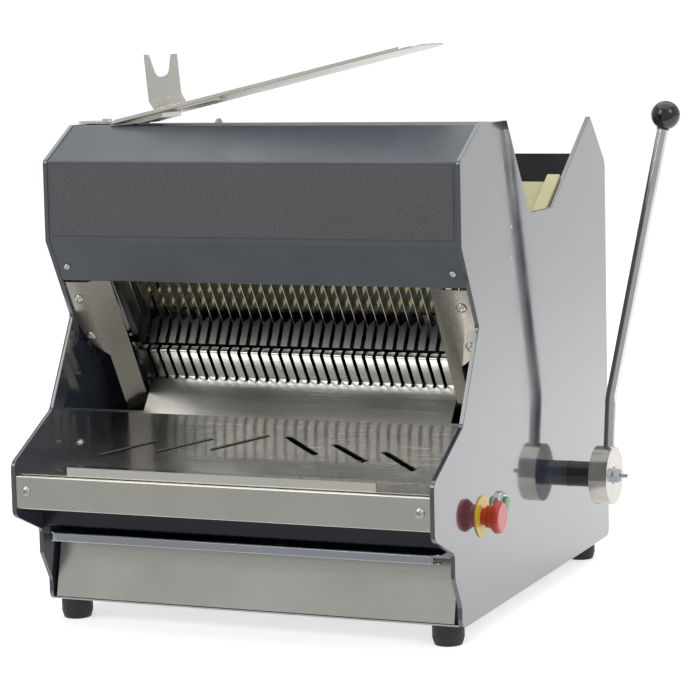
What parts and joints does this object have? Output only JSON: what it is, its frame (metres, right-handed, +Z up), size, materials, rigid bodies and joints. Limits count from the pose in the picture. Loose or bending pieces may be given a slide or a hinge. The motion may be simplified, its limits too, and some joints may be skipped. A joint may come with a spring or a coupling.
{
  "type": "bread slicer",
  "caption": "Counter-top bread slicer: a bent side lever feeds the loaf down a sloping floor through a comb of upright blades, over a crumb drawer.",
  "frame": {"origin": "on the table top under the feet, mid width, halfway between the front and rear feet", "axes": "+Z up, +X to the operator's right (the lever side), -Y towards the operator at the outlet side"},
  "size_m": [0.7302, 0.7075, 0.745],
  "materials": {
    "painted_steel": "powder coated, semi-gloss",
    "grey_sheet": "powder coated, satin",
    "dark_plate": "brushed and lacquered",
    "stainless": "brushed",
    "bright_steel": "ground and polished",
    "zinc_steel": "zinc plated",
    "black_steel": "satin black",
    "blade_steel": "ground",
    "cream_plastic": "machined sheet",
    "black_plastic": "moulded",
    "black_rubber": "moulded",
    "red_plastic": "moulded",
    "yellow_plastic": "printed disc",
    "green_plastic": "moulded",
    "cast_iron": "painted casting"
  },
  "bodies": {
    "housing": {"side_plate_left": "painted_steel", "side_plate_right": "painted_steel", "hood": "grey_sheet", "hood_front_plate": "dark_plate", "rear_cover": "grey_sheet", "base_tray": "zinc_steel", "front_crossbar": "black_steel", "outlet_table": "stainless", "front_fascia": "stainless", "comb_fingers": "stainless", "comb_rod": "black_steel", "outlet_trim_left": "stainless", "outlet_trim_right": "stainless", "loading_floor": "black_steel", "floor_liner": "cream_plastic", "side_strips": "cream_plastic", "blade_guide_rods": "bright_steel", "rod_holders": "cast_iron", "pusher_rods": "bright_steel", "pusher_rod_brackets": "zinc_steel", "lever_bearings": "cast_iron", "shaft_sleeve": "black_plastic", "crank_bearings": "cast_iron", "motor": "cast_iron", "drive_belt": "black_rubber", "drawer_runners": "zinc_steel", "stop_ring": "yellow_plastic", "stop_block": "black_plastic", "start_bezel": "bright_steel", "cord_gland": "black_plastic", "feet": "black_rubber", "plate_screws": "bright_steel", "trim_screws": "bright_steel", "scoop_pivot": "zinc_steel", "scoop_stop": "stainless"},
    "lever": {"lever_shaft": "bright_steel", "drive_arms": "zinc_steel", "lever_hub": "bright_steel", "hub_nut": "zinc_steel", "lever_rod": "bright_steel", "lever_ball": "black_plastic"},
    "pusher": {"pusher_comb": "cream_plastic", "pusher_carriage": "zinc_steel"},
    "blade_frame_a": {"blade_frame_front": "zinc_steel", "blades_front": "blade_steel", "connecting_rods_front": "cast_iron"},
    "blade_frame_b": {"blade_frame_rear": "zinc_steel", "blades_rear": "blade_steel", "connecting_rods_rear": "cast_iron"},
    "crank": {"crankshaft": "cast_iron", "crank_pulley": "cast_iron"},
    "motor_shaft": {"motor_pulley": "cast_iron"},
    "drawer": {"crumb_drawer": "stainless", "drawer_handle": "stainless"},
    "stop_head": {"stop_button": "red_plastic"},
    "start_head": {"start_button": "green_plastic"},
    "scoop": {"scoop_plate": "stainless", "scoop_bracket": "stainless", "scoop_stiffener": "stainless", "bag_fork": "stainless"}
  },
  "joints": [
    {"name": "lever_swing", "type": "hinge", "parent": "housing", "child": "lever", "pos_m": [0, 0.142, 0.146], "axis": [1, 0, 0], "range_deg": [0, 37.14]},
    {"name": "pusher_feed", "type": "slide", "parent": "housing", "child": "pusher", "axis": [0, -0.829, -0.5592], "range_m": [0, 0.19]},
    {"name": "blade_frame_a_stroke", "type": "slide", "parent": "housing", "child": "blade_frame_a", "axis": [0, -0.5592, 0.829], "range_m": [-0.01, 0.01]},
    {"name": "blade_frame_b_stroke", "type": "slide", "parent": "housing", "child": "blade_frame_b", "axis": [0, -0.5592, 0.829], "range_m": [-0.01, 0.01]},
    {"name": "crank_turn", "type": "hinge", "parent": "housing", "child": "crank", "pos_m": [0, 0.02221, 0.18703], "axis": [1, 0, 0], "continuous": true},
    {"name": "motor_turn", "type": "hinge", "parent": "housing", "child": "motor_shaft", "pos_m": [0, 0.1, 0.082], "axis": [1, 0, 0], "continuous": true},
    {"name": "drawer_pull", "type": "slide", "parent": "housing", "child": "drawer", "axis": [0, -1, 0], "range_m": [0, 0.25]},
    {"name": "stop_press", "type": "slide", "parent": "housing", "child": "stop_head", "axis": [-1, 0, 0], "range_m": [0, 0.005]},
    {"name": "start_press", "type": "slide", "parent": "housing", "child": "start_head", "axis": [-1, 0, 0], "range_m": [0, 0.0025], "stiffness_N_per_m": 400},
    {"name": "scoop_swivel", "type": "hinge", "parent": "housing", "child": "scoop", "pos_m": [-0.21, -0.144, 0.6435], "axis": [0, 0, -1], "range_deg": [0, 35]}
  ],
  "couplings": [
    {"joint": "pusher_feed", "follows": "lever_swing", "m_per_rad": 0.29308},
    {"joint": "blade_frame_b_stroke", "follows": "blade_frame_a_stroke", "ratio": -1},
    {"joint": "motor_turn", "follows": "crank_turn", "ratio": 2.8}
  ]
}
